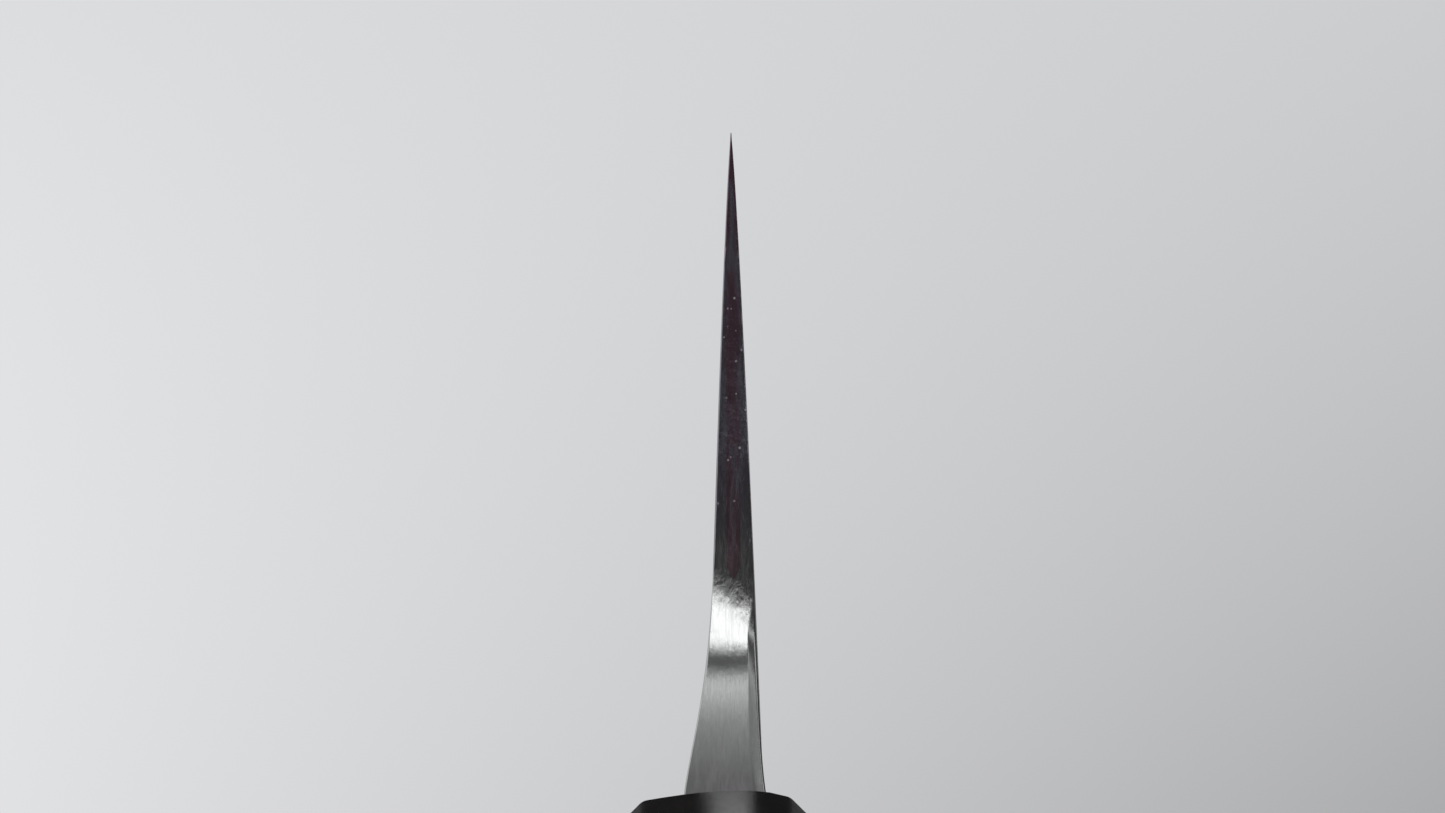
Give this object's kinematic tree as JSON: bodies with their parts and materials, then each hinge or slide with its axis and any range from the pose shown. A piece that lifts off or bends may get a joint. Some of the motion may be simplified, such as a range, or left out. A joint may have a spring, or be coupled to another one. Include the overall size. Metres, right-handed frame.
{
  "type": "boning knife",
  "caption": "Fixed-blade boning knife: tall pointed steel blade with a narrow neck, hidden tang, and an octagonal black handle with a horn ferrule.",
  "frame": {"origin": "middle of the knife's length and width, on the plane of the handle's back, with the cutting edge up", "axes": "+X along the knife from the butt to the tip, +Z from the handle's back towards the cutting edge, +Y towards the right face of the blade as it is used"},
  "size_m": [0.296, 0.0188, 0.0436],
  "materials": {
    "soft_steel": "satin, brushed along the blade",
    "core_steel": "fine satin, slightly darker than the body",
    "horn": "polished black horn",
    "ebony": "oiled, fine grain",
    "dowel_wood": "plain turned",
    "bedding_resin": "cured resin",
    "seal_resin": "black tinted resin"
  },
  "bodies": {
    "root": {"blade_body": "soft_steel", "blade_core": "core_steel", "ferrule": "horn", "handle_body": "ebony", "dowel_half_left": "dowel_wood", "dowel_half_right": "dowel_wood", "tang_bedding": "bedding_resin", "mouth_seal": "seal_resin"}
  },
  "joints": []
}
